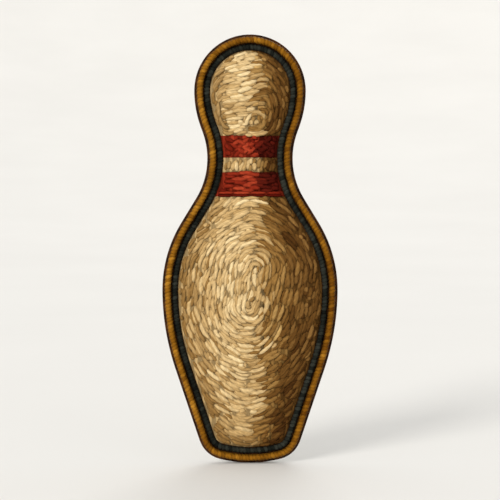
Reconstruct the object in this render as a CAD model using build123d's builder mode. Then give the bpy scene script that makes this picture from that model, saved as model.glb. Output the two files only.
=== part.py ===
"""A raised embroidered patch in the shape of a bowling pin, made to be fused to the front of a cap.

The patch stands upright: +Z runs from the pin's base to its head, and the stitched face looks along -Y.
The origin is the centre of the back face, where the adhesive film meets the cap. Units are millimetres.

From the back, the layers are adhesive film, white bobbin thread, stabiliser and ground twill. On the twill
stand a corded satin border, a satin outline, and a foam pad covered by the threads that fill the pin. The
pad and its threads have the form of a round pin, turned about the Z axis and then flattened onto the twill.
"""

from build123d import *
import os
from math import radians, sin

# The pin's outer edge: arcs and straight runs that follow one another smoothly from crown to base.
CROWN_Z = 31.0
HEAD_RADIUS = 8.05
CHEEK_RADIUS = 15.0
CHEEK_SWEEP = 22.0
NECK_RADIUS = 11.0
SHOULDER_SWEEP = 31.5
SHOULDER_LENGTH = 4.2
BELLY_RADIUS = 18.6
FLANK_RADIUS = 36.0
TAPER_SWEEP = 18.5
TAPER_LENGTH = 11.15
HEEL_RADIUS = 4.0
BASE_TILT = 14.0

# Layer thicknesses, from the back.
FILM_THICKNESS = 0.10
BOBBIN_THICKNESS = 0.12
STABILISER_THICKNESS = 0.30
TWILL_THICKNESS = 0.40

# Rings round the pin, from the outer edge inwards.
TWILL_RIM = 0.30
BORDER_WIDTH = 1.05
BORDER_HEIGHT = 1.05
CORD_DIAMETER = 0.65
OUTLINE_WIDTH = 0.95
OUTLINE_HEIGHT = 0.50
OUTLINE_SIDE = 0.20

# The filled figure of the pin: how high its belly stands, and how thick the thread is over the foam there.
FILL_RISE = 2.20
FILL_THREAD = 0.45

# Heights at which the filling changes colour, from the head down.
UPPER_STRIPE_TOP = 16.45
BAND_TOP = 13.30
LOWER_STRIPE_TOP = 11.20
STRIPE_LINE_TOP = 8.45
BELLY_TOP = 7.70

# Angles round the pin, from its right-hand edge, at which a darker thread gives way to a lighter one.
RIGHT_EDGE = 0.0
BROWN_END = 53.0
BAND_BROWN_END = 63.0
MAROON_END = 70.0
TAN_END = 78.0
LEFT_EDGE = 180.0

# A distance beyond every edge of the patch, and a length too small to see.
REACH = 40.0
HAIR = 0.001

# Distances of the layers' backs in front of the patch's back face.
STABILISER_BACK = FILM_THICKNESS + BOBBIN_THICKNESS
TWILL_BACK = STABILISER_BACK + STABILISER_THICKNESS
TWILL_FRONT = TWILL_BACK + TWILL_THICKNESS

# Insets from the patch's outer edge.
BORDER_MIDDLE = TWILL_RIM + BORDER_WIDTH / 2
OUTLINE_MIDDLE = TWILL_RIM + BORDER_WIDTH + OUTLINE_WIDTH / 2
FILL_EDGE = TWILL_RIM + BORDER_WIDTH + OUTLINE_WIDTH


def pin_face(inset):
    """The pin as a flat face, its edge lying `inset` inside the patch's outer edge."""
    with BuildSketch() as face:
        with BuildLine():
            crown = JernArc((0, CROWN_Z), (1, 0), HEAD_RADIUS, -90)
            cheek = JernArc(crown @ 1, crown % 1, CHEEK_RADIUS, -CHEEK_SWEEP)
            neck = JernArc(cheek @ 1, cheek % 1, NECK_RADIUS, CHEEK_SWEEP + SHOULDER_SWEEP)
            shoulder = PolarLine(neck @ 1, SHOULDER_LENGTH, direction=neck % 1)
            belly = JernArc(shoulder @ 1, shoulder % 1, BELLY_RADIUS, -SHOULDER_SWEEP)
            flank = JernArc(belly @ 1, belly % 1, FLANK_RADIUS, -TAPER_SWEEP)
            taper = PolarLine(flank @ 1, TAPER_LENGTH, direction=flank % 1)
            heel = JernArc(taper @ 1, taper % 1, HEEL_RADIUS, TAPER_SWEEP + BASE_TILT - 90)
            base_radius = (heel @ 1).X / sin(radians(BASE_TILT))
            JernArc(heel @ 1, heel % 1, base_radius, -BASE_TILT)
            mirror(about=Plane.YZ)
        make_face()
        if inset:
            offset(amount=-inset)
    return face.sketch


def ring_path(inset):
    """The closed path round the pin on the twill's front, `inset` inside the outer edge."""
    return Plane.XZ.offset(TWILL_FRONT) * pin_face(inset).face().outer_wire()


def across(path):
    """The plane across a ring's path, with its y direction pointing out of the twill."""
    out_of_twill = Vector(0, -1, 0)
    return Plane(origin=path @ 0, x_dir=out_of_twill.cross(path % 0), z_dir=path % 0)


def arch(width, side, height):
    """A ring's section: two straight sides under an arch, standing on the twill."""
    with BuildSketch() as section:
        with BuildLine():
            foot = Polyline((-width / 2, side), (-width / 2, 0), (width / 2, 0), (width / 2, side))
            ThreePointArc(foot @ 0, (0, height), foot @ 1)
        make_face()
    return section.sketch


def half_section(face, heights=(-REACH, REACH)):
    """The right half of a face of the pin, between two heights."""
    low, high = heights
    with BuildSketch() as section:
        add(face)
        with Locations((REACH / 2, (low + high) / 2)):
            Rectangle(REACH, high - low, mode=Mode.INTERSECT)
    return section.sketch


def flattened(section, start=RIGHT_EDGE, end=LEFT_EDGE):
    """A half section turned about Z from one angle to another, then flattened onto the twill."""
    with BuildPart() as figure:
        with BuildSketch(Plane.XZ.rotated((0, 0, -start))):
            with BuildLine():
                for edge in section.edges():
                    turns_evenly = edge.geom_type == GeomType.LINE or abs(edge.arc_center.X) < HAIR
                    add(edge if turns_evenly else edge.to_splines())
            make_face()
        revolve(axis=Axis.Z, revolution_arc=start - end)
        scale(by=(1, FLATNESS, 1))
    return Pos(Y=-TWILL_FRONT) * figure.part


def save(part, name):
    """Labels a finished piece and writes it to its own file."""
    part.label = name
    export_step(part, f"parts/{name}.step")


# The flattening brings the round pin down to its rise. It is the same for the foam, so the foam is inset
# from the filling's edge by as much as leaves the thread its thickness over the belly.
FLATNESS = FILL_RISE / pin_face(FILL_EDGE).bounding_box().max.X
FOAM_EDGE = FILL_EDGE + FILL_THREAD / FLATNESS

os.makedirs("parts", exist_ok=True)

# ---- Flat layers, from the back ----

with BuildPart() as adhesive_film:
    with BuildSketch(Plane.XZ):
        add(pin_face(0))
    extrude(amount=FILM_THICKNESS)
save(adhesive_film.part, "adhesive_film")

with BuildPart() as bobbin_border_thread:
    with BuildSketch(Plane.XZ.offset(FILM_THICKNESS)):
        add(pin_face(TWILL_RIM))
        add(pin_face(FILL_EDGE), mode=Mode.SUBTRACT)
    extrude(amount=BOBBIN_THICKNESS)
save(bobbin_border_thread.part, "bobbin_border_thread")

with BuildPart() as bobbin_fill_thread:
    with BuildSketch(Plane.XZ.offset(FILM_THICKNESS)):
        add(pin_face(FILL_EDGE))
    extrude(amount=BOBBIN_THICKNESS)
save(bobbin_fill_thread.part, "bobbin_fill_thread")

with BuildPart() as stabiliser:
    with BuildSketch(Plane.XZ.offset(STABILISER_BACK)):
        add(pin_face(0))
    extrude(amount=STABILISER_THICKNESS)
save(stabiliser.part, "stabiliser")

with BuildPart() as ground_twill:
    with BuildSketch(Plane.XZ.offset(TWILL_BACK)):
        add(pin_face(0))
    extrude(amount=TWILL_THICKNESS)
save(ground_twill.part, "ground_twill")

# ---- Rings that stand on the twill ----

border_path = ring_path(BORDER_MIDDLE)

with BuildPart() as border_cord:
    with BuildSketch(across(border_path)):
        with Locations((0, CORD_DIAMETER / 2)):
            Circle(CORD_DIAMETER / 2)
    sweep(path=border_path)
save(border_cord.part, "border_cord")

with BuildPart() as border_satin_thread:
    with BuildSketch(across(border_path)):
        add(arch(BORDER_WIDTH, BORDER_HEIGHT - BORDER_WIDTH / 2, BORDER_HEIGHT))
        add(arch(CORD_DIAMETER, CORD_DIAMETER / 2, CORD_DIAMETER), mode=Mode.SUBTRACT)
    sweep(path=border_path)
save(border_satin_thread.part, "border_satin_thread")

outline_path = ring_path(OUTLINE_MIDDLE)

with BuildPart() as outline_satin_thread:
    with BuildSketch(across(outline_path)):
        add(arch(OUTLINE_WIDTH, OUTLINE_SIDE, OUTLINE_HEIGHT))
    sweep(path=outline_path)
save(outline_satin_thread.part, "outline_satin_thread")

# ---- The foam pad ----

save(flattened(half_section(pin_face(FOAM_EDGE))), "puff_foam")

# ---- The filling threads: slices of the shell between the filling's surface and the foam ----

with BuildSketch() as shell:
    add(pin_face(FILL_EDGE))
    add(pin_face(FOAM_EDGE), mode=Mode.SUBTRACT)

HEAD = (UPPER_STRIPE_TOP, REACH)
UPPER_STRIPE = (BAND_TOP, UPPER_STRIPE_TOP)
NECK_BAND = (LOWER_STRIPE_TOP, BAND_TOP)
LOWER_STRIPE = (STRIPE_LINE_TOP, LOWER_STRIPE_TOP)
STRIPE_LINE = (BELLY_TOP, STRIPE_LINE_TOP)
BELLY = (-REACH, BELLY_TOP)

# For each thread: the heights that it fills, and the angles that it starts and ends at.
FILLING_THREADS = {
    "head_brown_thread": (HEAD, RIGHT_EDGE, BROWN_END),
    "head_tan_thread": (HEAD, BROWN_END, TAN_END),
    "head_cream_thread": (HEAD, TAN_END, LEFT_EDGE),
    "upper_stripe_maroon_thread": (UPPER_STRIPE, RIGHT_EDGE, MAROON_END),
    "upper_stripe_red_thread": (UPPER_STRIPE, MAROON_END, LEFT_EDGE),
    "neck_band_brown_thread": (NECK_BAND, RIGHT_EDGE, BAND_BROWN_END),
    "neck_band_cream_thread": (NECK_BAND, BAND_BROWN_END, LEFT_EDGE),
    "lower_stripe_maroon_thread": (LOWER_STRIPE, RIGHT_EDGE, MAROON_END),
    "lower_stripe_red_thread": (LOWER_STRIPE, MAROON_END, LEFT_EDGE),
    "lower_stripe_line_thread": (STRIPE_LINE, RIGHT_EDGE, LEFT_EDGE),
    "belly_brown_thread": (BELLY, RIGHT_EDGE, BROWN_END),
    "belly_tan_thread": (BELLY, BROWN_END, TAN_END),
    "belly_cream_thread": (BELLY, TAN_END, LEFT_EDGE),
}

for name, (heights, start, end) in FILLING_THREADS.items():
    save(flattened(half_section(shell.sketch, heights), start, end), name)
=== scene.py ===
"""The visual model of a raised embroidered patch in the shape of a bowling pin.

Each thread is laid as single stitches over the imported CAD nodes: short curved stitches over the filling,
satin stitches across the border's cord and round the outline, and bobbin stitches on the back. The twill,
the stabiliser and the film are thin sheets with their own weave or texture. Lengths are in millimetres
until a mesh is made, and places come from the frame.
"""

import math
from functools import cached_property

import bmesh
import bpy
import numpy as np
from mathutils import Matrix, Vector


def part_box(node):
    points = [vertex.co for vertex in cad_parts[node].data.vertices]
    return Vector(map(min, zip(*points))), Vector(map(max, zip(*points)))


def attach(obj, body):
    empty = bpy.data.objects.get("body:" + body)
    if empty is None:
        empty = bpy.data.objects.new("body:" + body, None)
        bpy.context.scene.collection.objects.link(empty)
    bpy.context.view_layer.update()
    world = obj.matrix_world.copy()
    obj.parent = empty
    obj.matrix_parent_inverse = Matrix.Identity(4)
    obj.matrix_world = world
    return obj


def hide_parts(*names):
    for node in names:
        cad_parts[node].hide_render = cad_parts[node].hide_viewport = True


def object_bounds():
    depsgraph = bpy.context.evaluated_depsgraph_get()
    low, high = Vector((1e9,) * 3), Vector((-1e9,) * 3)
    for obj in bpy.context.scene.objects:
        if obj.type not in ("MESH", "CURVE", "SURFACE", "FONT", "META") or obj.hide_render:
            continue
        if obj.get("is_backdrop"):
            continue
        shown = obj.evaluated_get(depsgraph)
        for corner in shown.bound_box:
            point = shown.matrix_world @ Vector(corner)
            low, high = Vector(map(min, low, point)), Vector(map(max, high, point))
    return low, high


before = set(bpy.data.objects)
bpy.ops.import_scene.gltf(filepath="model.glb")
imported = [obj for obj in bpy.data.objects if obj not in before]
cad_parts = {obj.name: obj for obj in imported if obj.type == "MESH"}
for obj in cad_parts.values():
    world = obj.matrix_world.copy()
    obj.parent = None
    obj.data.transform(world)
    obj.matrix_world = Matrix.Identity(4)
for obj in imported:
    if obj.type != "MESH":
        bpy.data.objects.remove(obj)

MM = 0.001
UP_AXIS = Vector((0, 0, 1))
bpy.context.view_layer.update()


def stack(*parts):
    """Arrays put together along a new last axis."""
    return np.stack(parts, axis=-1)


def unit(vectors):
    """Vectors brought to a length of 1."""
    return vectors / np.linalg.norm(vectors, axis=-1, keepdims=True)


def left_of(ahead):
    """The directions a quarter turn anticlockwise from others."""
    return stack(-ahead[..., 1], ahead[..., 0])


def toward(angles):
    """The unit directions at angles from the horizontal."""
    return stack(np.cos(angles), np.sin(angles))


# ---- Places read from the frame ----


def corners(node):
    """The lowest and highest corners of a CAD node, in millimetres."""
    low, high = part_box(node)
    return np.array(low) / MM, np.array(high) / MM


def points_of(node):
    """The vertices of a CAD node, in millimetres."""
    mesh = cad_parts[node].data
    flat = np.zeros(len(mesh.vertices) * 3, np.float32)
    mesh.vertices.foreach_get("co", flat)
    return flat.reshape(-1, 3).astype(float) / MM


def front_of(node):
    """How far a node's front lies in front of the patch's back face."""
    return -corners(node)[0][1]


def inset_of(node):
    """How far inside the patch's outer edge a node's own edge lies."""
    return corners("ground_twill")[1][0] - corners(node)[1][0]


def heights_of(node):
    """The heights of a node's lowest and highest points."""
    low, high = corners(node)
    return low[2], high[2]


FILM_FRONT = front_of("adhesive_film")
BOBBIN_FRONT = front_of("bobbin_fill_thread")
STABILISER_FRONT = front_of("stabiliser")
TWILL_FRONT = front_of("ground_twill")
BORDER_RISE = front_of("border_satin_thread") - TWILL_FRONT
OUTLINE_RISE = front_of("outline_satin_thread") - TWILL_FRONT
FILL_RISE = front_of("belly_cream_thread") - TWILL_FRONT

BORDER_INSET = inset_of("border_satin_thread")
OUTLINE_INSET = inset_of("outline_satin_thread")
FILL_INSET = inset_of("belly_brown_thread")
CORD_INSET = inset_of("border_cord")
BORDER_MIDDLE = (BORDER_INSET + OUTLINE_INSET) / 2

HEAD = heights_of("head_cream_thread")
UPPER_STRIPE = heights_of("upper_stripe_red_thread")
NECK_BAND = heights_of("neck_band_cream_thread")
LOWER_STRIPE = heights_of("lower_stripe_red_thread")
STRIPE_LINE = heights_of("lower_stripe_line_thread")
BELLY = heights_of("belly_cream_thread")

# The edge is read to a thousandth, then smoothed over a few steps each way.
EDGE_DECIMALS = 3
EDGE_STEP = 0.1
EDGE_SMOOTHING = 0.35
SMOOTHED_STEPS = 20


def at_distances(line, travelled, wanted):
    """Points of a line at wanted distances along it."""
    return stack(*(np.interp(wanted, travelled, way) for way in line.T))


def evenly(loop, count):
    """A closed loop's points, moved so that `count` of them lie evenly along it."""
    closed = np.vstack([loop, loop[:1]])
    lengths = np.linalg.norm(np.diff(closed, axis=0), axis=1)
    distance = np.concatenate([[0], np.cumsum(lengths)])
    wanted = np.linspace(0, distance[-1], count, endpoint=False)
    return at_distances(closed, distance, wanted)


def loop_length(loop):
    """The length of a closed loop."""
    return np.linalg.norm(np.roll(loop, -1, axis=0) - loop, axis=1).sum()


def outer_edge():
    """The patch's outer edge, from the crown round by the right, as evenly spaced points (x, z)."""
    found = np.unique(np.round(points_of("ground_twill")[:, [0, 2]], EDGE_DECIMALS), axis=0)
    right = found[found[:, 0] > -(10**-EDGE_DECIMALS)]
    right = right[np.argsort(-right[:, 1])]
    loop = np.vstack([right, right[::-1] * (-1, 1)])
    loop = evenly(loop, round(loop_length(loop) / EDGE_STEP))
    reach = np.arange(-SMOOTHED_STEPS, SMOOTHED_STEPS + 1)
    weights = np.exp(-((reach * EDGE_STEP / EDGE_SMOOTHING) ** 2) / 2)
    weights /= weights.sum()
    return sum(weight * np.roll(loop, -shift, axis=0) for shift, weight in zip(reach, weights))


def inward_of(loop):
    """The unit directions that point into a loop which runs clockwise as the patch is seen."""
    return -left_of(unit(np.roll(loop, -1, axis=0) - np.roll(loop, 1, axis=0)))


EDGE = outer_edge()
INWARD = inward_of(EDGE)


def ring(inset, count):
    """`count` points evenly round the pin, at an inset from its edge, and the ways into the pin there."""
    loop = evenly(EDGE + INWARD * inset, count)
    return loop, inward_of(loop)


def width_profile(inset):
    """Heights in rising order and the pin's half-widths there, at an inset from its edge."""
    loop = EDGE + INWARD * inset
    right = loop[loop[:, 0] > 0]
    right = right[np.argsort(right[:, 1])]
    return right[:, 1], right[:, 0]


FILL_HEIGHTS, FILL_HALF_WIDTHS = width_profile(FILL_INSET)
FILL_SLOPES = np.gradient(FILL_HALF_WIDTHS, FILL_HEIGHTS)
FLATNESS = FILL_RISE / FILL_HALF_WIDTHS.max()


def half_width(z):
    """Half the width of the filling at a height."""
    return np.interp(z, FILL_HEIGHTS, FILL_HALF_WIDTHS, left=0, right=0)


def edge_gap(x, z):
    """Roughly how far a point of the filling is from its edge."""
    slope = np.interp(z, FILL_HEIGHTS, FILL_SLOPES)
    return (half_width(z) - np.abs(x)) / np.hypot(1, slope)


def rise(x, z):
    """How high the filling stands over the twill: a round pin, flattened."""
    return FLATNESS * np.sqrt(np.maximum(half_width(z) ** 2 - x**2, 0))


SLOPE_STEP = 0.05
STEEPEST = 1.2


def changes(value, x, z):
    """How much a function of place changes over two short steps, to the right and upwards."""
    across = value(x + SLOPE_STEP, z) - value(x - SLOPE_STEP, z)
    upward = value(x, z + SLOPE_STEP) - value(x, z - SLOPE_STEP)
    return across, upward


def outward_of(x, z):
    """The unit directions out of the filling's surface."""
    across, upward = np.clip(np.array(changes(rise, x, z)) / (2 * SLOPE_STEP), -STEEPEST, STEEPEST)
    return unit(stack(-across, -np.ones_like(across), -upward))


def at_depth(flat, depth):
    """Places (x, z) as points (x, y, z), at a distance in front of the patch's back face."""
    return stack(flat[..., 0], -np.broadcast_to(depth, flat.shape[:-1]), flat[..., 1])


def ripples(x, z, across, upward):
    """Soft, uneven ripples from -1 to 1. Each way holds their pace, their bend and the pace of the bend."""
    first = np.sin(across[0] * x + across[1] * np.sin(across[2] * z))
    return first * np.sin(upward[0] * z + upward[1] * np.sin(upward[2] * x))


# ---- Meshes ----

# The bake's square: stitches have this share of it, and each stitch's cell has a margin.
STITCH_SHARE = 0.88
CELL_MARGIN = 0.04

# A thread's section has this many sides. Its two plies turn once over its twist, which starts a little
# further on in each thread. Its open ends narrow to a tip, and painted shade makes them darker than its
# middle.
THREAD_SIDES = 7
TWIST = 0.9
TWIST_SHIFT = 0.37
PLY_DEPTH = 0.1
TIP_SHARE = 0.3
TAPER_SHARE = 0.4
OPENING = 0.22

# The bed that stitches lie on has one tone all over and is a little shaded.
BED_TONE = 0.55
BED_SHADE = 0.9


class Cloth:
    """The points and faces of one piece, gathered in blocks before they become a mesh."""

    def __init__(self):
        self.points = []
        self.tones = []
        self.shades = []
        self.faces = []
        self.bake_places = []
        self.strand_places = []
        self.count = 0

    def add_points(self, points, tone, shade):
        """Adds points with their tone and how open they lie to light. Returns the first one's number."""
        start = self.count
        self.points.append(points)
        self.tones.append(np.broadcast_to(tone, len(points)))
        self.shades.append(np.broadcast_to(shade, len(points)))
        self.count += len(points)
        return start

    def add_faces(self, faces, bake_place, strand_place):
        """Adds faces of one size, with each corner's place in the bake and along its thread."""
        self.faces.append(faces)
        self.bake_places.append(bake_place)
        self.strand_places.append(strand_place)

    def mesh(self, name):
        """The gathered blocks as one Blender mesh, in metres."""
        made = bpy.data.meshes.new(name)
        faces = [face for block in self.faces for face in block.tolist()]
        made.from_pydata((np.concatenate(self.points) * MM).tolist(), [], faces)
        for layer, places in (("OFBake", self.bake_places), ("Strand", self.strand_places)):
            flat = np.concatenate([block.reshape(-1, 2) for block in places]).ravel()
            made.uv_layers.new(name=layer).data.foreach_set("uv", flat.astype(np.float32))
        for attribute, values in (("tone", self.tones), ("shade", self.shades)):
            flat = np.concatenate(values).astype(np.float32)
            made.attributes.new(attribute, "FLOAT", "POINT").data.foreach_set("value", flat)
        made.polygons.foreach_set("use_smooth", [True] * len(faces))
        made.update()
        return made


def placed(name, data):
    """An object in the scene."""
    made = bpy.data.objects.new(name, data)
    bpy.context.scene.collection.objects.link(made)
    return made


def show(name, cloth, material, node, slot):
    """Makes a piece of the gathered faces, in place of a CAD node."""
    mesh = cloth.mesh(name)
    mesh.materials.append(material)
    piece = placed(name, mesh)
    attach(piece, "root")
    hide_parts(node)
    return piece


def bake_cells(count):
    """The lower left corners and the size of the bake's cells, one for each stitch."""
    columns = math.ceil(math.sqrt(count))
    rows = math.ceil(count / columns)
    numbers = np.arange(count)
    size = np.array([1 / columns, STITCH_SHARE / rows])
    return stack(numbers % columns, numbers // columns) * size, size


def strand_rings(lines, outward, widths, heights, travelled, sides, closed):
    """Rings of points round lines: flattened round sections, with two lobes that turn along the line."""
    if closed:
        ahead = unit(np.roll(lines, -1, axis=1) - np.roll(lines, 1, axis=1))
    else:
        ahead = unit(np.gradient(lines, axis=1))
    sideways = unit(np.cross(ahead, outward))
    above = np.cross(sideways, ahead)
    turn = 2 * np.pi * np.arange(sides) / sides
    round_it = np.cos(turn)[:, None] * sideways[:, :, None] * widths[..., None, None] / 2
    round_it = round_it + np.sin(turn)[:, None] * above[:, :, None] * heights[..., None, None] / 2
    lobes = 1 + PLY_DEPTH * np.sin(2 * turn + 2 * np.pi * travelled[..., None] / TWIST)
    return lines[:, :, None] + round_it * lobes[..., None]


def add_strands(cloth, lines, outward, widths, heights, tones, sides=THREAD_SIDES, opening=OPENING,
                closed=False):
    """Adds two-ply threads that follow lines of points, with tapered ends or as closed rings.

    lines and outward hold (thread, step, xyz). widths, heights and tones hold a value for each thread, or
    one for all. A thread comes into full light over the share `opening` of its length at each end.
    """
    threads, steps, _ = lines.shape
    widths, heights, tones = (np.broadcast_to(values, threads) for values in (widths, heights, tones))
    share = np.linspace(0, 1, steps)
    to_end = np.minimum(share, 1 - share)
    swelling = np.sin(np.clip(to_end / TAPER_SHARE, 0, 1) * np.pi / 2)
    full = np.ones(steps) if closed else TIP_SHARE + (1 - TIP_SHARE) * swelling
    openness = np.ones(steps) if closed else np.clip(to_end / opening, 0, 1)
    lengths = np.linalg.norm(np.diff(lines, axis=1), axis=2).sum(axis=1)[:, None]
    first = np.arange(threads)[:, None] * TWIST_SHIFT
    sizes = (widths[:, None] * full, heights[:, None] * full)
    points = strand_rings(lines, outward, *sizes, first + lengths * share, sides, closed)
    tone = np.broadcast_to(tones[:, None, None], (threads, steps, sides))
    shade = np.broadcast_to(openness[:, None], (threads, steps, sides))
    start = cloth.add_points(points.reshape(-1, 3), tone.ravel(), shade.ravel())

    spans = steps if closed else steps - 1
    thread, step, side = np.ogrid[:threads, :spans, :sides]

    def number(step_there, side_there):
        return start + (thread * steps + step_there % steps) * sides + side_there % sides

    quads = [number(step, side), number(step, side + 1), number(step + 1, side + 1), number(step + 1, side)]
    everywhere = 0 * (thread + step + side)[..., None]
    along_turn = stack(side, side + 1, side + 1, side) / sides + everywhere
    along_length = stack(step, step, step + 1, step + 1) / spans + everywhere
    cells, size = bake_cells(threads)
    local = CELL_MARGIN + stack(along_turn, along_length) * (1 - 2 * CELL_MARGIN)
    bake = cells[:, None, None, None] + local * size
    travelled = first[..., None, None] + along_length * lengths[..., None, None]
    strand = stack(along_turn, travelled)
    cloth.add_faces(stack(*quads).reshape(-1, 4), bake.reshape(-1, 4, 2), strand.reshape(-1, 4, 2))

    if not closed:
        for end, order, height in ((0, -1, CELL_MARGIN), (steps - 1, 1, 1 - CELL_MARGIN)):
            tip = start + (np.arange(threads)[:, None] * steps + end) * sides + np.arange(sides)[::order]
            place = np.broadcast_to(cells[:, None] + size * [0.5, height], (threads, sides, 2))
            cloth.add_faces(tip, place, np.zeros((threads, sides, 2)))


def welded(node):
    """The vertices, in millimetres, and the triangles of a CAD node as one closed mesh."""
    work = bmesh.new()
    work.from_mesh(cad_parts[node].data)
    bmesh.ops.remove_doubles(work, verts=work.verts, dist=MM / 1000)
    bmesh.ops.triangulate(work, faces=work.faces)
    points = np.array([vertex.co for vertex in work.verts]) / MM
    faces = np.array([[vertex.index for vertex in face.verts] for face in work.faces])
    work.free()
    return points, faces


def add_bed(cloth, node, lowered):
    """Adds a CAD node's own solid, with its seen surface lowered, as the bed that its stitches lie on."""
    points, faces = welded(node)
    moved = lowered(points)
    start = cloth.add_points(moved, BED_TONE, BED_SHADE)
    flat = moved[:, [0, 2]]
    low, high = flat.min(axis=0), flat.max(axis=0)
    place = (flat - low) / (high - low) * [1, 1 - STITCH_SHARE] + [0, STITCH_SHARE]
    cloth.add_faces(faces + start, place[faces], flat[faces])


def sew(part, material, slot, lowered, *strands):
    """Makes a piece of stitches, given as add_strands takes them, over the lowered solid of their thread."""
    cloth = Cloth()
    add_bed(cloth, f"{part}_thread", lowered)
    add_strands(cloth, *strands)
    show(f"{part}_stitches", cloth, material, f"{part}_thread", slot)


# ---- Colours and materials ----


def colour(red, green, blue):
    """A colour given as it looks on a screen, from 0 to 255, as the linear values that a shader takes."""
    def linear(value):
        share = value / 255
        return share / 12.92 if share <= 0.04045 else ((share + 0.055) / 1.055) ** 2.4
    return (linear(red), linear(green), linear(blue), 1)


class Nodes:
    """A material's node tree with a few short ways to add to it."""

    def __init__(self, name):
        self.material = bpy.data.materials.new(name)
        self.material.use_nodes = True
        self.tree = self.material.node_tree
        self.shader = self.tree.nodes["Principled BSDF"]

    @cached_property
    def place(self):
        """The place on the object, in its own frame."""
        return self.add("TexCoord").outputs["Object"]

    def add(self, kind, **settings):
        """Adds a node and sets its properties."""
        node = self.tree.nodes.new("ShaderNode" + kind)
        for setting, value in settings.items():
            setattr(node, setting, value)
        return node

    def join(self, source, target):
        """Links an output to an input."""
        self.tree.links.new(source, target)

    def fact(self, name):
        """A value that the mesh holds at each point."""
        return self.add("Attribute", attribute_name=name).outputs["Fac"]

    def sum(self, operation, *values):
        """One step of arithmetic on outputs or numbers."""
        node = self.add("Math", operation=operation)
        for socket, value in zip(node.inputs, values):
            if isinstance(value, (int, float)):
                socket.default_value = value
            else:
                self.join(value, socket)
        return node.outputs[0]

    def span(self, value, low, high):
        """A value from 0 to 1, spread from low to high."""
        node = self.add("MapRange")
        node.inputs["To Min"].default_value = low
        node.inputs["To Max"].default_value = high
        self.join(value, node.inputs["Value"])
        return node.outputs["Result"]

    def ramp(self, value, stops):
        """Colours by a value, given as (place, colour) stops, with each colour as it looks on a screen."""
        node = self.add("ValToRGB")
        while len(node.color_ramp.elements) < len(stops):
            node.color_ramp.elements.new(0.5)
        for element, (place, tint) in zip(node.color_ramp.elements, stops):
            element.position = place
            element.color = colour(*tint)
        self.join(value, node.inputs["Fac"])
        return node.outputs["Color"]

    def times(self, tint, factor):
        """A colour multiplied by a value."""
        node = self.add("VectorMath", operation="SCALE")
        self.join(tint, node.inputs[0])
        self.join(factor, node.inputs["Scale"])
        return node.outputs["Vector"]

    def noise(self, place, scale, stretch=(1, 1, 1), detail=3.0):
        """Noise from 0 to 1 at a place, in its own units."""
        mapping = self.add("Mapping")
        mapping.inputs["Scale"].default_value = stretch
        self.join(place, mapping.inputs["Vector"])
        node = self.add("TexNoise")
        node.inputs["Scale"].default_value = scale
        node.inputs["Detail"].default_value = detail
        self.join(mapping.outputs["Vector"], node.inputs["Vector"])
        return node.outputs["Fac"]

    def set(self, **values):
        """Sets the shader's own values, by their sockets' names with _ for each space."""
        for socket, value in values.items():
            self.shader.inputs[socket.replace("_", " ")].default_value = value

    def skin(self, tint, height, distance, rough, smoothest, roughest):
        """The material with a colour, a relief of so many millimetres, and a roughness between two values."""
        self.join(tint, self.shader.inputs["Base Color"])
        bump = self.add("Bump")
        bump.inputs["Distance"].default_value = distance * MM
        self.join(height, bump.inputs["Height"])
        self.join(bump.outputs["Normal"], self.shader.inputs["Normal"])
        self.join(self.span(rough, smoothest, roughest), self.shader.inputs["Roughness"])
        return self.material


FIBRE_STRETCH = (14, 0.8, 1)


def thread(name, dark, middle, light, roughness=0.5, ends=0.5, gloss=0.2):
    """Two-ply embroidery thread: its tone goes by the stitch, with fibres and a twist along it, and painted
    shade on its sides, at its ends and between its plies.

    `ends` is how light a stitch still is where it goes down beside the next.
    """
    nodes = Nodes(f"{name}Thread")
    strand = nodes.add("UVMap", uv_map="Strand").outputs["UV"]
    split = nodes.add("SeparateXYZ")
    nodes.join(strand, split.inputs[0])
    around, along = split.outputs["X"], split.outputs["Y"]
    fibres = nodes.noise(strand, 1.0, FIBRE_STRETCH, detail=4.0)
    crest_shade = nodes.sum("SINE", nodes.sum("MULTIPLY", around, 2 * math.pi))
    turned = nodes.sum("MULTIPLY_ADD", along, 2 * math.pi / TWIST, nodes.sum("MULTIPLY", around, 4 * math.pi))
    plies = nodes.span(nodes.sum("SINE", turned), 0.5, 1.0)
    tint = nodes.ramp(nodes.fact("tone"), [(0, dark), (0.5, middle), (1, light)])
    # Painted shade: each stitch is darker where it goes down at its ends.
    tint = nodes.times(tint, nodes.span(nodes.fact("shade"), ends, 1.0))
    # Painted shade on each thread's sides and underside, with a painted highlight along its crest.
    tint = nodes.times(tint, nodes.span(crest_shade, 0.5, 1.0))
    tint = nodes.times(tint, nodes.span(fibres, 0.4, 1.6))
    # Painted shade in the grooves between the plies; the same twist also gives the relief.
    tint = nodes.times(tint, nodes.span(plies, 0.8, 1.05))
    nodes.set(Specular_IOR_Level=gloss, Specular_Tint=colour(*light))
    nodes.set(Sheen_Weight=0.04, Sheen_Tint=colour(*light), Sheen_Roughness=0.4)
    height = nodes.sum("ADD", nodes.sum("MULTIPLY", plies, 0.5), fibres)
    return nodes.skin(tint, height, 0.03, fibres, roughness - 0.08, roughness + 0.12)


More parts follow.
